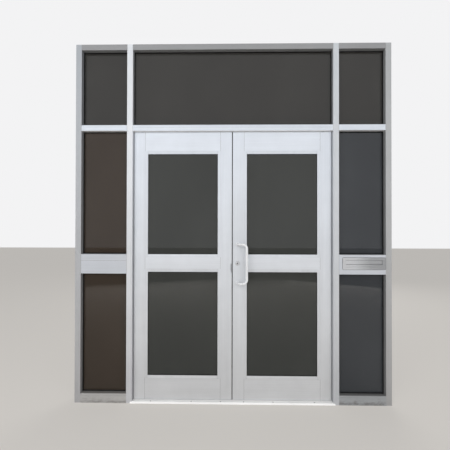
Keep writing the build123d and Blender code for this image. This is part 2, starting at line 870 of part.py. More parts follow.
with BuildPart() as deadbolt:
    with Locations((bolt_start + deadbolt_length / 2, 0, deadbolt_z)):
        Box(deadbolt_length, deadbolt_thickness, deadbolt_height)
    with Locations((fork_x, 0, (bolt_top + fork_top) / 2)):
        Box(fork_slot + 2 * fork_prong, fork_thickness, fork_top - bolt_top)
    with Locations((fork_x, 0, (bolt_top + fork_top) / 2)):
        Box(fork_slot, fork_thickness, fork_top - bolt_top, mode=Mode.SUBTRACT)
save(deadbolt, "deadbolt")


def cam(side):
    """Cam plate behind a cylinder, with the pin that rides in the deadbolt's fork."""
    plate_near = fork_thickness / 2 + running_clearance
    with BuildSketch(through_depth(lock_x, side * plate_near, lock_height)) as plate:
        Circle(cam_boss_radius)
        with Locations((fork_x - lock_x, cam_pin_z - lock_height)):
            Circle(cam_pin_radius + 1)
        make_hull()
    extrude(plate.sketch, amount=-side * cam_thickness)
    with BuildSketch(through_depth(fork_x, side * joint_gap, cam_pin_z)) as pin:
        Circle(cam_pin_radius)
    extrude(pin.sketch, amount=-side * plate_near)


def plug(side, end):
    """Round plug in a cylinder, from its cam out to the given face."""
    near = fork_thickness / 2 + running_clearance + cam_thickness
    with BuildSketch(through_depth(lock_x, side * near, lock_height)) as core:
        Circle(plug_radius)
    extrude(core.sketch, amount=-side * (end - near))


# Key plug with its keyway
with BuildPart() as key_plug:
    cam(-1)
    plug(-1, collar_face)
    with Locations((lock_x, -collar_face, lock_height)):
        Box(keyway_width, 2 * keyway_depth, keyway_height, mode=Mode.SUBTRACT)
save(key_plug, "key_plug")

# Thumb turn on the room side
with BuildPart() as thumbturn:
    cam(1)
    plug(1, collar_face + turn_neck)
    with BuildSketch(Plane(
        origin=(lock_x, collar_face + turn_neck, lock_height), x_dir=(1, 0, 0), z_dir=(0, 1, 0),
    )):
        RectangleRounded(turn_height, turn_width, turn_round)
    extrude(amount=turn_length)
save(thumbturn, "thumbturn")

# Pile seal down the right leaf's edge, either side of the lock faceplate
with BuildPart() as meeting_seal:
    seal_reach = meeting_gap - meeting_seal_gap
    for side in (-1, 1):
        with Locations((
            leaf_edge - seal_reach / 2,
            side * meeting_seal_offset,
            leaf_bottom + leaf_height / 2,
        )):
            Box(seal_reach, meeting_seal_width, leaf_height)
save(meeting_seal, "meeting_seal")

# Left meeting stile: cut for the strike and for the two flush bolts
flush_plate_heights = [leaf_bottom + flush_plate_inset, leaf_top - flush_plate_inset]

with BuildPart() as left_meeting_stile:
    with BuildSketch(upright(-leaf_edge - stile_width / 2, leaf_bottom)):
        stile_section(1, meeting_edge_radius)
    extrude(amount=leaf_height)
    with Locations((-leaf_edge, 0, deadbolt_z)):
        Box(
            2 * leaf_wall, faceplate_width + 2 * slide_clearance,
            strike_height + 2 * slide_clearance, mode=Mode.SUBTRACT,
        )
    with Locations((-leaf_edge - strike_notch_width / 2, leaf_front + strike_notch_depth / 2, deadbolt_z)):
        Box(strike_notch_width, strike_notch_depth, strike_notch_height, mode=Mode.SUBTRACT)
    for z in flush_plate_heights:
        with Locations((-leaf_edge, 0, z)):
            Box(
                2 * leaf_wall, flush_plate_width + 2 * slide_clearance,
                flush_plate_height + 2 * slide_clearance, mode=Mode.SUBTRACT,
            )
save(left_meeting_stile, "left_meeting_stile")

# Strike and flush bolt plates, flush with the stile's edge
with BuildPart() as edge_plates:
    with Locations((-leaf_edge - leaf_wall / 2, 0, deadbolt_z)):
        Box(leaf_wall, faceplate_width, strike_height)
        Box(
            leaf_wall, deadbolt_thickness + 2 * strike_clearance,
            deadbolt_height + 2 * strike_clearance, mode=Mode.SUBTRACT,
        )
    for z in flush_plate_heights:
        with Locations((-leaf_edge - leaf_wall / 2, 0, z)):
            Box(leaf_wall, flush_plate_width, flush_plate_height)
            Box(leaf_wall, flush_slot_width, flush_slot_height, mode=Mode.SUBTRACT)
save(edge_plates, "left_edge_plates")

# Guide blocks for the flush bolts in both ends of the stile
with BuildPart() as bolt_guides:
    for z in (leaf_bottom + guide_length / 2, leaf_top - guide_length / 2):
        with Locations((-leaf_edge - leaf_wall - guide_reach / 2, 0, z)):
            Box(guide_reach, leaf_cavity, guide_length)
    with Locations((flush_bolt_x, 0, leaf_bottom + leaf_height / 2)):
        Cylinder(flush_bolt_radius + running_clearance, leaf_height, mode=Mode.SUBTRACT)
save(bolt_guides, "left_bolt_guides")

# Flush bolts, drawn back, each a rod with a thumb slide
for name, way, plate_z, tip in (
    ("flush_bolt_top", 1, flush_plate_heights[1], leaf_top - flush_bolt_recess),
    ("flush_bolt_bottom", -1, flush_plate_heights[0], leaf_bottom + flush_bolt_recess),
):
    thumb_z = plate_z - way * flush_bolt_throw / 2
    tail = thumb_z - way * flush_thumb_height / 2
    with BuildPart() as flush_bolt:
        with Locations((flush_bolt_x, 0, (tip + tail) / 2)):
            Cylinder(flush_bolt_radius, abs(tip - tail))
        thumb_reach = flush_bolt_backset + flush_thumb_rise
        with Locations((flush_bolt_x + thumb_reach / 2, 0, thumb_z)):
            Box(thumb_reach, flush_thumb_width, flush_thumb_height)
    save(flush_bolt, name)
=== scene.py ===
import math

import bmesh
import bpy
from mathutils import Matrix, Vector


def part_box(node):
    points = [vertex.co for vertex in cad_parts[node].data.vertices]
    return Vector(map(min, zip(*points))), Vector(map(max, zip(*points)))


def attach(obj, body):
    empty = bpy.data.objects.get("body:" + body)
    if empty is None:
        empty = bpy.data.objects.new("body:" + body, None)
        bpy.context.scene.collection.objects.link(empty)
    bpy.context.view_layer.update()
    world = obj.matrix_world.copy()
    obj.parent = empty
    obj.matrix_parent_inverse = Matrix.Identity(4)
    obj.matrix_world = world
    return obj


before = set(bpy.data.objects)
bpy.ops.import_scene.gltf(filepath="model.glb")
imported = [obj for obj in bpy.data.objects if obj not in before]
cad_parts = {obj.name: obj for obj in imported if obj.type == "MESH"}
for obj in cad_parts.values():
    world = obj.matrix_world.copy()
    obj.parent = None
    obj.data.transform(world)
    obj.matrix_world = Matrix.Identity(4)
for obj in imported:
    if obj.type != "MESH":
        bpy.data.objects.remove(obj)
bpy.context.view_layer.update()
bpy.context.scene.view_settings.view_transform = "Standard"

MM = 0.001

# Camera, fitted to the photograph's lines. Places are in metres.
CAMERA_PLACE = Vector((-0.0134, -2.698, 1.3735))
CAMERA_YAW = math.radians(-0.945)
CAMERA_PITCH = math.radians(0.431)
CAMERA_ROLL = math.radians(0.103)
SENSOR_WIDTH = 36.0
FOCAL_PIXELS = 338.0
FRAME_PIXELS = 450.0
CLIP_START = 0.01


def make_camera():
    """The photograph's viewpoint: standing in front of the leaves at eye height."""
    forward = Vector((
        math.sin(CAMERA_YAW) * math.cos(CAMERA_PITCH),
        math.cos(CAMERA_YAW) * math.cos(CAMERA_PITCH),
        math.sin(CAMERA_PITCH),
    ))
    level = Vector((math.cos(CAMERA_YAW), -math.sin(CAMERA_YAW), 0.0))
    up = level.cross(forward)
    right = level * math.cos(CAMERA_ROLL) + up * math.sin(CAMERA_ROLL)
    up = up * math.cos(CAMERA_ROLL) - level * math.sin(CAMERA_ROLL)
    camera = bpy.data.objects.new("camera", bpy.data.cameras.new("camera"))
    bpy.context.collection.objects.link(camera)
    camera.data.sensor_width = SENSOR_WIDTH
    camera.data.lens = SENSOR_WIDTH * FOCAL_PIXELS / FRAME_PIXELS
    camera.data.clip_start = CLIP_START
    turn = Matrix((right, up, -forward)).transposed().to_4x4()
    camera.matrix_world = Matrix.Translation(CAMERA_PLACE) @ turn
    bpy.context.scene.camera = camera


# Materials. Colours are written as sRGB, 0 to 255.

EVEN = (1.0, 1.0, 1.0)
FULL = 255.0
LOOKS_UP = (0.3, 0.9)
SHADE_SPAN = (0.32, 0.68)
ROUGH_SPAN = (0.3, 0.7)


def linear(red, green, blue):
    """Linear RGBA of an sRGB colour given from 0 to 255."""
    def one(value):
        value /= FULL
        return value / 12.92 if value <= 0.04045 else ((value + 0.055) / 1.055) ** 2.4
    return one(red), one(green), one(blue), 1.0


def shift(colour, step):
    """The sRGB colour made lighter or darker by a step."""
    return tuple(min(FULL, max(0, value + step)) for value in colour)


def grey(level):
    """Linear grey used as a factor or to multiply a colour."""
    return level, level, level, 1.0


class Nodes:
    """A material's node tree with short ways to add and join nodes."""

    def __init__(self, name, **shader):
        self.material = bpy.data.materials.new(name)
        self.material.use_nodes = True
        self.tree = self.material.node_tree
        self.shader = self.tree.nodes["Principled BSDF"]
        for key, value in shader.items():
            self.shader.inputs[key.replace("_", " ")].default_value = value

    def add(self, kind, **settings):
        """A node of that kind: names of properties are set, the rest are its input sockets."""
        node = self.tree.nodes.new(kind)
        for key, value in settings.items():
            if hasattr(node, key):
                setattr(node, key, value)
            else:
                node.inputs[key.replace("_", " ")].default_value = value
        return node

    def feed(self, socket, value):
        """Give an input socket another socket's output or a plain value."""
        if isinstance(value, bpy.types.NodeSocket):
            self.tree.links.new(value, socket)
        else:
            socket.default_value = value

    def place(self):
        """Object coordinates, in metres."""
        return self.add("ShaderNodeTexCoord").outputs["Object"]

    def axis(self, name):
        """One of the object coordinates."""
        split = self.add("ShaderNodeSeparateXYZ")
        self.feed(split.inputs["Vector"], self.place())
        return split.outputs[name]

    def noise(self, scale, size, detail=4.0, roughness=0.55):
        """Factor of a noise in object coordinates stretched by a scale along each axis."""
        mapping = self.add("ShaderNodeMapping")
        mapping.inputs["Scale"].default_value = scale
        self.feed(mapping.inputs["Vector"], self.place())
        noise = self.add("ShaderNodeTexNoise", Scale=size, Detail=detail, Roughness=roughness)
        self.feed(noise.inputs["Vector"], mapping.outputs["Vector"])
        return noise.outputs["Fac"]

    def math(self, operation, first, second):
        """Result of a math operation on two values, held between 0 and 1."""
        node = self.add("ShaderNodeMath", operation=operation, use_clamp=True)
        self.feed(node.inputs[0], first)
        self.feed(node.inputs[1], second)
        return node.outputs[0]

    def span(self, value, low, high, to_low=0.0, to_high=1.0):
        """Value carried from one range to another and held inside it."""
        node = self.add("ShaderNodeMapRange")
        node.inputs["From Min"].default_value = low
        node.inputs["From Max"].default_value = high
        node.inputs["To Min"].default_value = to_low
        node.inputs["To Max"].default_value = to_high
        self.feed(node.inputs["Value"], value)
        return node.outputs["Result"]

    def ramp(self, factor, *stops):
        """Colour ramp over a factor: stops are (place, colour)."""
        ramp = self.add("ShaderNodeValToRGB")
        elements = ramp.color_ramp.elements
        while len(elements) < len(stops):
            elements.new(0.5)
        for element, (place, colour) in zip(elements, stops):
            element.position = place
            element.color = colour
        self.feed(ramp.inputs["Fac"], factor)
        return ramp.outputs["Color"]

    def mix(self, factor, first, second, kind="MIX"):
        """Mix of two colours, each a socket or a plain colour."""
        mix = self.add("ShaderNodeMix", data_type="RGBA", blend_type=kind)
        self.feed(mix.inputs[0], factor)
        self.feed(mix.inputs[6], first)
        self.feed(mix.inputs[7], second)
        return mix.outputs[2]

    def shade(self, colour, factor, low):
        """Darken a colour to a share of itself where a factor is low."""
        dark, light = SHADE_SPAN
        tone = self.ramp(factor, (dark, grey(low)), (light, grey(1.0)))
        return self.mix(1.0, colour, tone, "MULTIPLY")

    def bump(self, height, distance, strength):
        """Bump from a height, in metres, joined to the shader."""
        bump = self.add("ShaderNodeBump", Distance=distance, Strength=strength)
        self.feed(bump.inputs["Height"], height)
        self.feed(self.shader.inputs["Normal"], bump.outputs["Normal"])

    def colour(self, socket):
        """Join a colour to the shader."""
        self.feed(self.shader.inputs["Base Color"], socket)

    def rough(self, factor, low, high):
        """Roughness that varies with a factor."""
        self.feed(self.shader.inputs["Roughness"], self.span(factor, *ROUGH_SPAN, low, high))

    def facing(self, way):
        """Factor that is 1 on faces that look up, or down where way is -1, and 0 on the rest."""
        split = self.add("ShaderNodeSeparateXYZ")
        self.feed(split.inputs["Vector"], self.add("ShaderNodeNewGeometry").outputs["Normal"])
        return self.span(split.outputs["Z"], *[way * value for value in LOOKS_UP])


SCREEN_HEIGHT = 2.816
LEAF_HEIGHT = 2.13
UNDERSIDE_LIGHT_SRGB = (255, 255, 255)
GRIME = (92, 86, 78)
STAIN_RISE = 0.055
PLATE_ENDS = (0.858, 1.188)


def aluminium(
    name, top, bottom, along, height=SCREEN_HEIGHT, metallic=0.3, dust=0.45, stains=0.0, painted_underside_light=0.0,
):
    """Clear anodised aluminium with die lines along its length.

    Its colour runs from bottom to top over the height; where the two differ, the ramp is
    painted light and shade. Dust lies on faces that look up, stains gather towards the floor,
    and faces that look down are mixed towards white by a share, which is painted light.
    """
    nodes = Nodes(name, Metallic=metallic)
    fine = (3.0, 3.0, 0.03) if along == "Z" else (0.03, 3.0, 3.0)
    broad = (1.0, 1.0, 0.06) if along == "Z" else (0.06, 1.0, 1.0)
    lines = nodes.noise(fine, size=70.0, detail=7.0, roughness=0.6)
    bands = nodes.noise(broad, size=16.0, detail=3.0)
    mottle = nodes.noise(EVEN, size=5.0, detail=6.0, roughness=0.6)
    colour = nodes.mix(nodes.span(nodes.axis("Z"), 0.0, height), linear(*bottom), linear(*top))
    for factor, low in ((lines, 0.94), (bands, 0.95), (mottle, 0.94)):
        colour = nodes.shade(colour, factor, low)
    # Faces that look down are mixed towards white: painted light on the undersides.
    if painted_underside_light:
        underside_lift = nodes.math("MULTIPLY", nodes.facing(-1), painted_underside_light)
        colour = nodes.mix(underside_lift, colour, linear(*UNDERSIDE_LIGHT_SRGB))
    specks = nodes.noise(EVEN, size=160.0, detail=5.0, roughness=0.7)
    film = nodes.math("MULTIPLY", nodes.facing(1), nodes.span(specks, 0.2, 0.6, 0.55, 1.0))
    colour = nodes.mix(nodes.math("MULTIPLY", film, dust), colour, linear(*GRIME))
    if stains:
        blots = nodes.noise((1.0, 1.0, 2.2), size=26.0, detail=9.0, roughness=0.72)
        near_floor = nodes.span(nodes.axis("Z"), 0.0, STAIN_RISE, 0.22, 0.0)
        wet = nodes.math("ADD", blots, near_floor)
        mask = nodes.span(wet, 0.58, 0.9, 0.0, stains)
        colour = nodes.mix(mask, colour, linear(*GRIME))
    nodes.colour(colour)
    nodes.rough(lines, low=0.32, high=0.46)
    nodes.bump(lines, 0.15 * MM, 0.4)
    return nodes.material


def glass(name, colour, alpha):
    """Pane of float glass: smooth, dark, and letting a little of what is behind through."""
    nodes = Nodes(name, Roughness=0.02, Alpha=alpha, IOR=1.5)
    sag = nodes.noise((1.0, 1.0, 0.6), size=1.3, detail=1.0)
    film = nodes.noise((1.0, 1.0, 0.5), size=6.0, detail=7.0, roughness=0.65)
    tone = nodes.ramp(sag, (0.3, linear(*colour)), (0.75, linear(*shift(colour, 7))))
    nodes.colour(nodes.mix(nodes.span(film, 0.5, 0.8, 0.0, 0.25), tone, linear(*shift(colour, 26))))
    nodes.bump(sag, 2.0 * MM, 0.1)
    return nodes.material


def rubber(name, colour):
    """Black glazing rubber with a dusty bloom."""
    nodes = Nodes(name, Specular_IOR_Level=0.2)
    dust = nodes.noise(EVEN, size=90.0, detail=8.0, roughness=0.65)
    nodes.colour(nodes.ramp(dust, (0.45, linear(*colour)), (0.8, linear(*shift(colour, 18)))))
    nodes.rough(dust, low=0.55, high=0.8)
    nodes.bump(dust, 0.3 * MM, 0.4)
    return nodes.material


def pile(name, colour):
    """Woven pile weatherstrip."""
    nodes = Nodes(name, Roughness=0.95, Sheen_Weight=0.3)
    tufts = nodes.noise((1.0, 1.0, 0.35), size=900.0, detail=3.0)
    nodes.colour(nodes.ramp(tufts, (0.4, linear(*colour)), (0.7, linear(*shift(colour, 22)))))
    nodes.bump(tufts, 1.0 * MM, 0.8)
    return nodes.material


def joint_shade(name, colour):
    """Grey lines of painted shade for the hairline joints, darker in patches."""
    nodes = Nodes(name, Roughness=0.7)
    patches = nodes.noise((1.0, 1.0, 0.3), size=40.0, detail=8.0, roughness=0.7)
    nodes.colour(nodes.ramp(patches, (0.35, linear(*shift(colour, -40))), (0.65, linear(*colour))))
    nodes.bump(patches, 0.2 * MM, 0.5)
    return nodes.material


def steel(name, colour, grain=EVEN, low=0.28, high=0.45, metallic=0.85, depth=22):
    """Machined or lacquered steel with fine scratches, which are darker by a depth."""
    nodes = Nodes(name, Metallic=metallic)
    scratches = nodes.noise(grain, size=120.0, detail=8.0, roughness=0.6)
    smears = nodes.noise(EVEN, size=30.0, detail=5.0)
    tone = nodes.ramp(scratches, (0.3, linear(*shift(colour, -depth))), (0.7, linear(*colour)))
    nodes.colour(nodes.shade(tone, smears, 0.95))
    nodes.rough(scratches, low, high)
    nodes.bump(scratches, 0.15 * MM, 0.4)
    return nodes.material


def brushed_plate(name, tones):
    """Plate brushed along its length, its tones given at places along X from end to end as painted
    reflection.
    """
    nodes = Nodes(name, Metallic=0.45)
    scratches = nodes.noise((0.03, 3.0, 3.0), size=160.0, detail=9.0, roughness=0.65)
    along = nodes.span(nodes.axis("X"), *PLATE_ENDS)
    base = nodes.ramp(along, *[(place, linear(*tone)) for place, tone in tones])
    nodes.colour(nodes.shade(base, scratches, 0.8))
    nodes.rough(scratches, low=0.26, high=0.42)
    nodes.bump(scratches, 0.15 * MM, 0.5)
    return nodes.material


def casting(name, colour):
    """Painted casting with a slightly pebbled skin."""
    nodes = Nodes(name)
    pebble = nodes.noise(EVEN, size=260.0, detail=6.0)
    nodes.colour(nodes.ramp(pebble, (0.4, linear(*colour)), (0.7, linear(*shift(colour, 12)))))
    nodes.rough(pebble, low=0.4, high=0.6)
    nodes.bump(pebble, 0.5 * MM, 0.5)
    return nodes.material


# Leaf tones run from a lighter, bluer top to a greyer bottom: painted light from the sky above.
LEAF_TOP_PAINTED_LIGHT = (214, 220, 229)
LEAF_BOTTOM_PAINTED_SHADE = (206, 207, 209)
# Mail plate tones from a light left end to a darker right end: painted reflection on the brushed metal.
PLATE_REFLECTION_TONES = (
    (0.0, (202, 203, 206)), (0.3, (197, 199, 203)), (0.55, (174, 176, 179)),
    (0.65, (163, 165, 168)), (1.0, (158, 160, 163)),
)

MATERIALS = {
    # The jambs' duller tones, and the ramps between their tops and bottoms, are painted shade from the
    # walls at the sides.
    "left_jamb": aluminium("left_jamb", (171, 176, 182), (178, 178, 180), "Z"),
    "right_jamb": aluminium("right_jamb", (174, 177, 179), (168, 168, 169), "Z"),
    # The mullions' ramps, lighter and bluer at the top, and the right mullion darker than the left, are
    # painted light and shade.
    "left_mullion": aluminium("left_mullion", (220, 224, 229), (203, 204, 208), "Z"),
    "right_mullion": aluminium("right_mullion", (198, 203, 208), (196, 198, 202), "Z"),
    # The pocket fillers are nearly white and not metallic: painted light that lifts the shaded returns
    # of the door opening.
    "filler": aluminium("pocket_fillers", (245, 247, 250), (240, 241, 243), "Z", metallic=0.0),
    # The head's dark grey is painted shade, darker than the same aluminium of the other members.
    "head": aluminium("head_members_painted_shade", (150, 151, 153), (150, 151, 153), "X"),
    # The transom bars' undersides are whitened as painted light.
    "bar": aluminium("transom_bars", (210, 217, 226), (210, 217, 226), "X", dust=0.2, painted_underside_light=0.9),
    "rail": aluminium("sidelight_rails", (193, 197, 204), (193, 197, 204), "X"),
    # The sills' duller base tones, the right darker than the left, are painted shade; their stains are
    # dirt.
    "left_sill": aluminium("left_sill", (184, 183, 182), (184, 183, 182), "X", stains=0.6, dust=0.5),
    "right_sill": aluminium("right_sill", (164, 167, 170), (164, 167, 170), "X", stains=0.75, dust=0.5),
    # The saddle's plain white, not metallic, is the painted reflection of the sky on its top.
    "threshold": aluminium("saddle_painted_sky_reflection", (255, 255, 254), (255, 255, 254), "X", metallic=0.0, dust=0.0),
    "stile": aluminium("leaf_stiles", LEAF_TOP_PAINTED_LIGHT, LEAF_BOTTOM_PAINTED_SHADE, "Z", LEAF_HEIGHT),
    "leaf_rail": aluminium("leaf_rails", shift(LEAF_TOP_PAINTED_LIGHT, 2), shift(LEAF_BOTTOM_PAINTED_SHADE, 2), "X", LEAF_HEIGHT),
    # The panes' tints differ pane by pane, brown on the left sidelight and blue on the right: painted
    # reflection of the surroundings.
    "leaf_glass": glass("leaf_glass", (50, 52, 50), 0.8),
    "left_glass": glass("left_side_glass", (50, 41, 33), 0.84),
    "right_glass": glass("right_side_glass", (50, 53, 57), 0.8),
    "top_glass": glass("transom_glass", (48, 47, 45), 0.8),
    "rubber": rubber("glazing_rubber", (7, 7, 8)),
    "pile": pile("weather_pile", (14, 14, 15)),
    # Joint lines of painted shade.
    "joint_shade": joint_shade("painted_joint_shade", (128, 128, 127)),
    "steel": steel("machined_steel", (172, 172, 174)),
    "screw": steel("screw_steel", (158, 158, 160), low=0.25, high=0.4),
    "plate": brushed_plate("brushed_plate", PLATE_REFLECTION_TONES),
    # The trim takes the plate's tones a step lighter: painted highlight on the raised border.
    "trim": brushed_plate("plate_trim", [(at, shift(tone, 6)) for at, tone in PLATE_REFLECTION_TONES]),
    "pull": steel(
        "satin_pull", (233, 235, 238), (1.0, 1.0, 0.05), low=0.24, high=0.3, metallic=0.2, depth=7,
    ),
    "chrome": steel("satin_chrome", (208, 209, 212), low=0.2, high=0.3, metallic=0.35, depth=10),
    # The key plug's dark face is painted shade of the keyway.
    "plug": steel("plug_face_painted_shade", (104, 104, 105), low=0.25, high=0.4, metallic=0.5, depth=12),
    "casting": casting("painted_casting", (58, 59, 61)),
}

LEAVES = ("left", "right")
NODE_MATERIALS = {
    "left_jamb": ("jamb_left",),
    "right_jamb": ("jamb_right",),
    "left_mullion": ("mullion_left",),
    "right_mullion": ("mullion_right",),
    "filler": ("pocket_fillers",),
    "head": ("head_left", "head_center", "head_right"),
    "bar": ("transom_bar_left", "transom_bar_center", "transom_bar_right", "header_stop"),
    "rail": ("mid_rail_left", "mid_rail_right"),
    "left_sill": ("sill_left",),
    "right_sill": ("sill_right",),
    "threshold": ("threshold",),
    "stile": [
        f"{leaf}_{part}" for leaf in LEAVES
        for part in ("hinge_stile", "meeting_stile", "glazing_stops")
    ],
    "leaf_rail": [f"{leaf}_{part}_rail" for leaf in LEAVES for part in ("top", "mid", "bottom")],
    "leaf_glass": ("left_glass", "right_glass"),
    "left_glass": ("sidelight_glass_left",),
    "right_glass": ("sidelight_glass_right",),
    "top_glass": ("transom_glass",),
    "rubber": ("frame_glass_seals", "left_glass_seals", "right_glass_seals"),
    "pile": ("header_weatherstrip", "meeting_seal"),
    "steel": (
        "floor_pivots", "left_top_arm", "left_bottom_arm", "right_top_arm", "right_bottom_arm",
        "left_bolt_guides", "flush_bolt_top", "flush_bolt_bottom", "left_edge_plates",
        "lock_case", "deadbolt", "pull_bolts",
    ),
    "plate": ("mail_plate", "mail_chute", "mail_flap"),
    "pull": ("pull_handle",),
    "chrome": ("lock_cylinders", "thumbturn"),
    "plug": ("key_plug",),
    "casting": ("closers",),
}


def dress_nodes():
    """Give every CAD node its material."""
    for key, names in NODE_MATERIALS.items():
        for name in names:
            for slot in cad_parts[name].material_slots:
                slot.material = MATERIALS[key]


# Pieces that Blender adds: beads, some of them painted shade, trim and fixings. Sizes are in
# millimetres.

SMOOTH_ANGLE = math.radians(40)


class Piece:
    """A mesh built from rings of points, then put on a body with its material."""

    def __init__(self, name):
        self.name = name
        self.bm = bmesh.new()

    def ring(self, points):
        """Vertices at points given in millimetres."""
        return [self.bm.verts.new(Vector(point) * MM) for point in points]

    def skin(self, first, second):
        """Faces between two rings of the same length."""
        for i in range(len(first)):
            j = (i + 1) % len(first)
            self.bm.faces.new((first[i], first[j], second[j], second[i]))

    def prism(self, first, second):
        """Closed solid between two rings of points."""
        start = self.ring(first)
        end = self.ring(second)
        self.skin(start, end)
        self.bm.faces.new(list(reversed(start)))
        self.bm.faces.new(end)

    def place(self, body, material, slot, smooth=False):
        """Make the object, put it on a body and give it its finish."""
        bmesh.ops.recalc_face_normals(self.bm, faces=self.bm.faces)
        mesh = bpy.data.meshes.new(self.name)
        self.bm.to_mesh(mesh)
        self.bm.free()
        if smooth:
            mesh.shade_smooth()
            mesh.set_sharp_from_angle(angle=SMOOTH_ANGLE)
        mesh.materials.append(MATERIALS[material])
        piece = bpy.data.objects.new(self.name, mesh)
        bpy.context.collection.objects.link(piece)
        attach(piece, body)


BEAD_WIDTH = 1.3
SEAM_WIDTH = 0.6
BEAD_RISE = 0.12
BEAD_DEPTH = 0.5
LOWER_TUBE_HEIGHT = 101.6
BAR_SEAM_DROP = 20.0


def bead(piece, start, end, out, width=BEAD_WIDTH):
    """Low dark ridge along a joint on a front or back face, painted shade of the hairline; out is the
    face's way.
    """
    along = (Vector(end) - Vector(start)).normalized()
    across = along.cross(Vector((0, 1, 0))) * (width / 2)
    inward = Vector((0, -out, 0))
    rings = []
    for point in (Vector(start), Vector(end)):
        rings.append([
            point + across + inward * BEAD_DEPTH,
            point + across,
            point - inward * BEAD_RISE,
            point - across,
            point - across + inward * BEAD_DEPTH,
        ])
    piece.prism(*rings)


def node_span(name):
    """Lowest and highest corner of a CAD node in millimetres."""
    low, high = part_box(name)
    return low / MM, high / MM


def end_joints(piece, names):
    """Painted joint shade at both ends of each cross member, on the front and on the back."""
    for name in names:
        low, high = node_span(name)
        for x in (low.x, high.x):
            for y, out in ((low.y, -1), (high.y, 1)):
                bead(piece, (x, y, low.z), (x, y, high.z), out)


def long_seam(piece, name, z, width=BEAD_WIDTH):
    """Painted shade of a seam along a cross member at a height, on the front and on the back."""
    low, high = node_span(name)
    for y, out in ((low.y, -1), (high.y, 1)):
        bead(piece, (low.x, y, z), (high.x, y, z), out, width)


def make_joints():
    """Painted shade in the hairline joints where the members of the screen and of the leaves meet."""
    members = [
        f"{part}_{place}" for part in ("head", "transom_bar")
        for place in ("left", "center", "right")
    ]
    screen = Piece("screen_joints")
    end_joints(screen, members + ["mid_rail_left", "mid_rail_right"])
    long_seam(screen, "mid_rail_left", node_span("mid_rail_left")[0].z + LOWER_TUBE_HEIGHT)
    bar_seam = node_span("transom_bar_center")[1].z - BAR_SEAM_DROP
    long_seam(screen, "transom_bar_center", bar_seam, SEAM_WIDTH)
    screen.place("frame", "joint_shade", "satin_aluminium")
    for leaf in LEAVES:
        joints = Piece(f"{leaf}_leaf_joints")
        end_joints(joints, [f"{leaf}_{part}_rail" for part in ("top", "mid", "bottom")])
        joints.place(f"leaf_{leaf}", "joint_shade", "leaf_aluminium")


# Screws: shares of the head's radius, and of its rise
CROSS = (
    (0.28, 0.1), (0.1, 0.1), (0.1, 0.28), (-0.1, 0.28), (-0.1, 0.1), (-0.28, 0.1),
)
SHANK_SHARE = 0.72
DOME = ((1.0, 0.0), (0.93, 0.45), (0.75, 0.8), (0.5, 1.0))
RECESS_TAPER = 0.8
RECESS_DEPTH = 0.35
HEAD_STEPS = 24
HEAD_SINK = 2.4


def screw(piece, place, out, radius, rise):
    """Oval screw head with a cross recess; out is the way that it looks."""
    turn = Vector(out).to_track_quat("Z", "Y")
    centre = Vector(place)

    def at(x, y, z):
        return centre + turn @ Vector((x, y, z))

    def circle(share, height):
        return [
            at(
                radius * share * math.cos(2 * math.pi * i / HEAD_STEPS),
                radius * share * math.sin(2 * math.pi * i / HEAD_STEPS),
                height,
            )
            for i in range(HEAD_STEPS)
        ]

    rings = [piece.ring(circle(SHANK_SHARE, -HEAD_SINK))]
    rings += [piece.ring(circle(share, rise * height)) for share, height in DOME]
    for first, second in zip(rings, rings[1:]):
        piece.skin(first, second)
    piece.bm.faces.new(list(reversed(rings[0])))
    star = list(CROSS) + [(-x, -y) for x, y in CROSS]
    lip = piece.ring([at(radius * x, radius * y, rise) for x, y in star])
    depth = rise - RECESS_DEPTH * radius
    floor = piece.ring([
        at(radius * x * RECESS_TAPER, radius * y * RECESS_TAPER, depth) for x, y in star
    ])
    edges = [
        piece.bm.edges.get((loop[i], loop[(i + 1) % len(loop)]))
        or piece.bm.edges.new((loop[i], loop[(i + 1) % len(loop)]))
        for loop in (rings[-1], lip) for i in range(len(loop))
    ]
    bmesh.ops.triangle_fill(piece.bm, edges=edges, use_beauty=True)
    piece.skin(lip, floor)
    piece.bm.faces.new(floor)


BROAD_HEAD = 5.0
LOCK_HEAD = 4.0
SMALL_HEAD = 3.6
FLUSH_RISE = 0.15
THRESHOLD_SCREWS = (-640.0, -320.0, -90.0, 90.0, 320.0, 640.0)
THRESHOLD_ROW = 46.5
PIVOT_X = 715.15
PIVOT_STEP = 36
CHUTE_INSET = 10
LEAF_EDGE = 3.5
LOCK_FACEPLATE = (1071.5, 66)
EDGE_PLATES = ((1053.0, 41), (265.5, 51), (1881.5, 51))


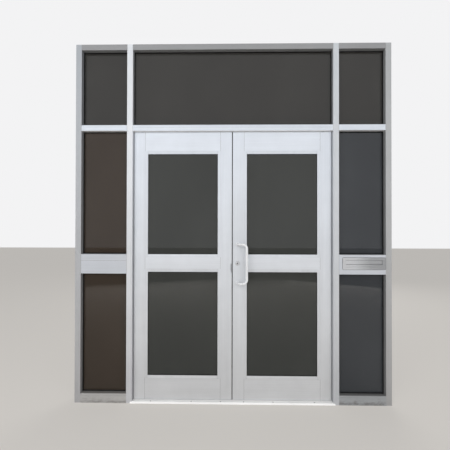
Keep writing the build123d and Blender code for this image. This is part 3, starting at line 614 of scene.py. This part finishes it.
def make_screws():
    """Fixings of the threshold, pivots, mail chute, lock, strike and flush bolts."""
    frame_screws = Piece("frame_screws")
    top = node_span("threshold")[1].z
    for x in THRESHOLD_SCREWS:
        for y in (-THRESHOLD_ROW, THRESHOLD_ROW):
            screw(frame_screws, (x, y, top), (0, 0, 1), BROAD_HEAD, rise=0.4)
    for side in (-1, 1):
        for step in (-PIVOT_STEP, PIVOT_STEP):
            screw(frame_screws, (side * PIVOT_X + step, 0, top), (0, 0, 1), BROAD_HEAD, rise=0.3)
    frame_screws.place("frame", "screw", "steel", smooth=True)

    low, high = node_span("mail_chute")
    inner = Piece("mail_chute_screws")
    for x in (low.x + CHUTE_INSET, high.x - CHUTE_INSET):
        for z in (low.z + CHUTE_INSET, high.z - CHUTE_INSET):
            screw(inner, (x, high.y, z), (0, 1, 0), SMALL_HEAD, rise=0.4)
    inner.place("frame", "screw", "steel", smooth=True)

    lock = Piece("lock_screws")
    centre, reach = LOCK_FACEPLATE
    for step in (-reach, reach):
        screw(lock, (LEAF_EDGE, 0, centre + step), (-1, 0, 0), LOCK_HEAD, FLUSH_RISE)
    lock.place("leaf_right", "screw", "steel", smooth=True)

    plates = Piece("edge_plate_screws")
    for centre, reach in EDGE_PLATES:
        for step in (-reach, reach):
            screw(plates, (-LEAF_EDGE, 0, centre + step), (1, 0, 0), SMALL_HEAD, FLUSH_RISE)
    plates.place("leaf_left", "screw", "steel", smooth=True)


# Mail plate: border, seal that also paints the edge shadow, and flap strips of painted shade
TRIM_PROFILE = ((0.0, 0.0), (1.6, 1.1), (4.6, 1.1), (6.2, 0.0))
TRIM_ROUND = 8.0
TRIM_LEAST_ROUND = 1.2
TRIM_SINK = 1.0
PLATE_FACE = -60.15
CORNER_STEPS = 8
SEAL_REACH = 2.2
SEAL_TUCK = 0.1
SEAL_THICKNESS = 0.5
SLOT_MARGIN = 24.7
SHADOW_STRIP_RISE = 0.7
SHADOW_STRIP_BITE = 0.1
FLAP_SHADOW_STRIPS = ((20.5, 1.0), (52.0, 1.6))


def rounded(low, high, inset, y):
    """Points round the mail plate's outline moved in by an inset, at depth y."""
    radius = max(TRIM_LEAST_ROUND, TRIM_ROUND - inset)
    left, right = low.x + inset + radius, high.x - inset - radius
    foot, top = low.z + inset + radius, high.z - inset - radius
    points = []
    for x, z, start in ((right, top, 0), (left, top, 90), (left, foot, 180), (right, foot, 270)):
        for i in range(CORNER_STEPS + 1):
            angle = math.radians(start + 90 * i / CORNER_STEPS)
            points.append((x + radius * math.cos(angle), y, z + radius * math.sin(angle)))
    return points


def make_plate_seal(low, high):
    """Thin rubber line round the mail plate, on the face of the rail, which also paints the shadow
    along the plate's edge.
    """
    wall = node_span("mid_rail_right")[0].y
    front = wall - SEAL_THICKNESS
    seal = Piece("mail_plate_seal_and_shadow")
    rings = [
        seal.ring(rounded(low, high, inset, y))
        for inset, y in (
            (SEAL_TUCK, wall), (SEAL_TUCK, front), (-SEAL_REACH, front), (-SEAL_REACH, wall),
        )
    ]
    for first, second in zip(rings, rings[1:] + rings[:1]):
        seal.skin(first, second)
    seal.place("frame", "rubber", "black_rubber")


def make_flap_shadow_strips(low, high):
    """Black strips on the flap's face, along the top and the bottom of the slot: painted shade, the
    rim's shadow along the top and the gap's shade along the bottom.
    """
    face = node_span("mail_flap")[0].y
    shade_strips = Piece("mail_flap_shadow_strips")
    for drop, height in FLAP_SHADOW_STRIPS:
        top = high.z - drop
        corners = (
            (face + SHADOW_STRIP_BITE, top), (face - SHADOW_STRIP_RISE, top),
            (face - SHADOW_STRIP_RISE, top - height), (face + SHADOW_STRIP_BITE, top - height),
        )
        shade_strips.prism(*[
            [(x, y, z) for y, z in corners]
            for x in (low.x + SLOT_MARGIN, high.x - SLOT_MARGIN)
        ])
    shade_strips.place("mail_flap", "rubber", "black_rubber")


def make_plate_border(low, high):
    """Raised border along the edge of the mail plate."""
    border = Piece("mail_plate_trim")
    rings = [
        border.ring(rounded(low, high, inset, y))
        for inset, y in (
            (0.0, PLATE_FACE + TRIM_SINK),
            *[(inset, PLATE_FACE - rise) for inset, rise in TRIM_PROFILE],
            (TRIM_PROFILE[-1][0], PLATE_FACE + TRIM_SINK),
        )
    ]
    for first, second in zip(rings, rings[1:] + rings[:1]):
        border.skin(first, second)
    border.place("frame", "trim", "brushed_plate", smooth=True)


make_camera()


# Stage: a pale floor, a pale surround and soft lamps

FLOOR_SIZE = 40.0
FLOOR_DROP = 0.5 * MM
FLOOR_SRGB = (230, 225, 218)
FLOOR_GLOW_SRGB = (205, 202, 198)
FLOOR_GLOW_SHARE = 0.62
SURROUND_SRGB = (243, 243, 244)
WORLD_STRENGTH = 0.31


def make_floor():
    """Pale floor that keeps the shadow and looks even from every side."""
    bm = bmesh.new()
    bmesh.ops.create_grid(bm, x_segments=2, y_segments=2, size=FLOOR_SIZE / 2)
    mesh = bpy.data.meshes.new("floor")
    bm.to_mesh(mesh)
    bm.free()
    floor = bpy.data.objects.new("floor", mesh)
    bpy.context.collection.objects.link(floor)
    floor.location.z = -FLOOR_DROP
    nodes = Nodes("pale_floor", Roughness=0.85)
    nodes.shader.inputs["Base Color"].default_value = linear(*FLOOR_SRGB)
    glow = nodes.add("ShaderNodeEmission", Color=linear(*FLOOR_GLOW_SRGB), Strength=1.0)
    seen = nodes.add("ShaderNodeLightPath").outputs["Is Camera Ray"]
    mix = nodes.add("ShaderNodeMixShader")
    nodes.feed(mix.inputs["Fac"], nodes.math("MULTIPLY", seen, FLOOR_GLOW_SHARE))
    nodes.feed(mix.inputs[1], nodes.shader.outputs["BSDF"])
    nodes.feed(mix.inputs[2], glow.outputs["Emission"])
    output = nodes.tree.nodes["Material Output"]
    nodes.feed(output.inputs["Surface"], mix.outputs["Shader"])
    mesh.materials.append(nodes.material)


def make_world():
    """Soft even light; the camera, metal and glass see a pale surround."""
    world = bpy.data.worlds.new("surround")
    bpy.context.scene.world = world
    world.use_nodes = True
    tree = world.node_tree
    tree.nodes.clear()
    output = tree.nodes.new("ShaderNodeOutputWorld")
    path = tree.nodes.new("ShaderNodeLightPath")
    backgrounds = []
    for colour, strength in ((grey(1.0), WORLD_STRENGTH), (linear(*SURROUND_SRGB), 1.0)):
        background = tree.nodes.new("ShaderNodeBackground")
        background.inputs["Color"].default_value = colour
        background.inputs["Strength"].default_value = strength
        backgrounds.append(background)
    seen = path.outputs["Is Camera Ray"]
    for ray in ("Is Glossy Ray", "Is Transmission Ray"):
        either = tree.nodes.new("ShaderNodeMath")
        either.operation = "MAXIMUM"
        tree.links.new(seen, either.inputs[0])
        tree.links.new(path.outputs[ray], either.inputs[1])
        seen = either.outputs[0]
    mix = tree.nodes.new("ShaderNodeMixShader")
    tree.links.new(seen, mix.inputs["Fac"])
    tree.links.new(backgrounds[0].outputs[0], mix.inputs[1])
    tree.links.new(backgrounds[1].outputs[0], mix.inputs[2])
    tree.links.new(mix.outputs[0], output.inputs["Surface"])


def make_lamp(name, place, target, size, power):
    """Square area lamp aimed at a point, not seen in reflections."""
    data = bpy.data.lights.new(name, "AREA")
    data.shape = "SQUARE"
    data.size = size
    data.energy = power
    lamp = bpy.data.objects.new(name, data)
    bpy.context.collection.objects.link(lamp)
    lamp.location = place
    lamp.rotation_mode = "QUATERNION"
    lamp.rotation_quaternion = (Vector(target) - Vector(place)).to_track_quat("-Z", "Y")
    lamp.visible_glossy = False


make_floor()
make_world()
make_lamp("key", place=(-2.0, -5.2, 2.7), target=(0.0, 0.0, 1.4), size=4.4, power=203.0)
make_lamp("fill", place=(3.0, -5.1, 1.9), target=(0.0, 0.0, 1.2), size=3.8, power=105.0)
make_lamp("back", place=(1.5, 5.0, 4.0), target=(0.0, 0.0, 1.4), size=4.0, power=120.0)
dress_nodes()
make_joints()
make_screws()
plate = node_span("mail_plate")
make_plate_seal(*plate)
make_flap_shadow_strips(*plate)
make_plate_border(*plate)
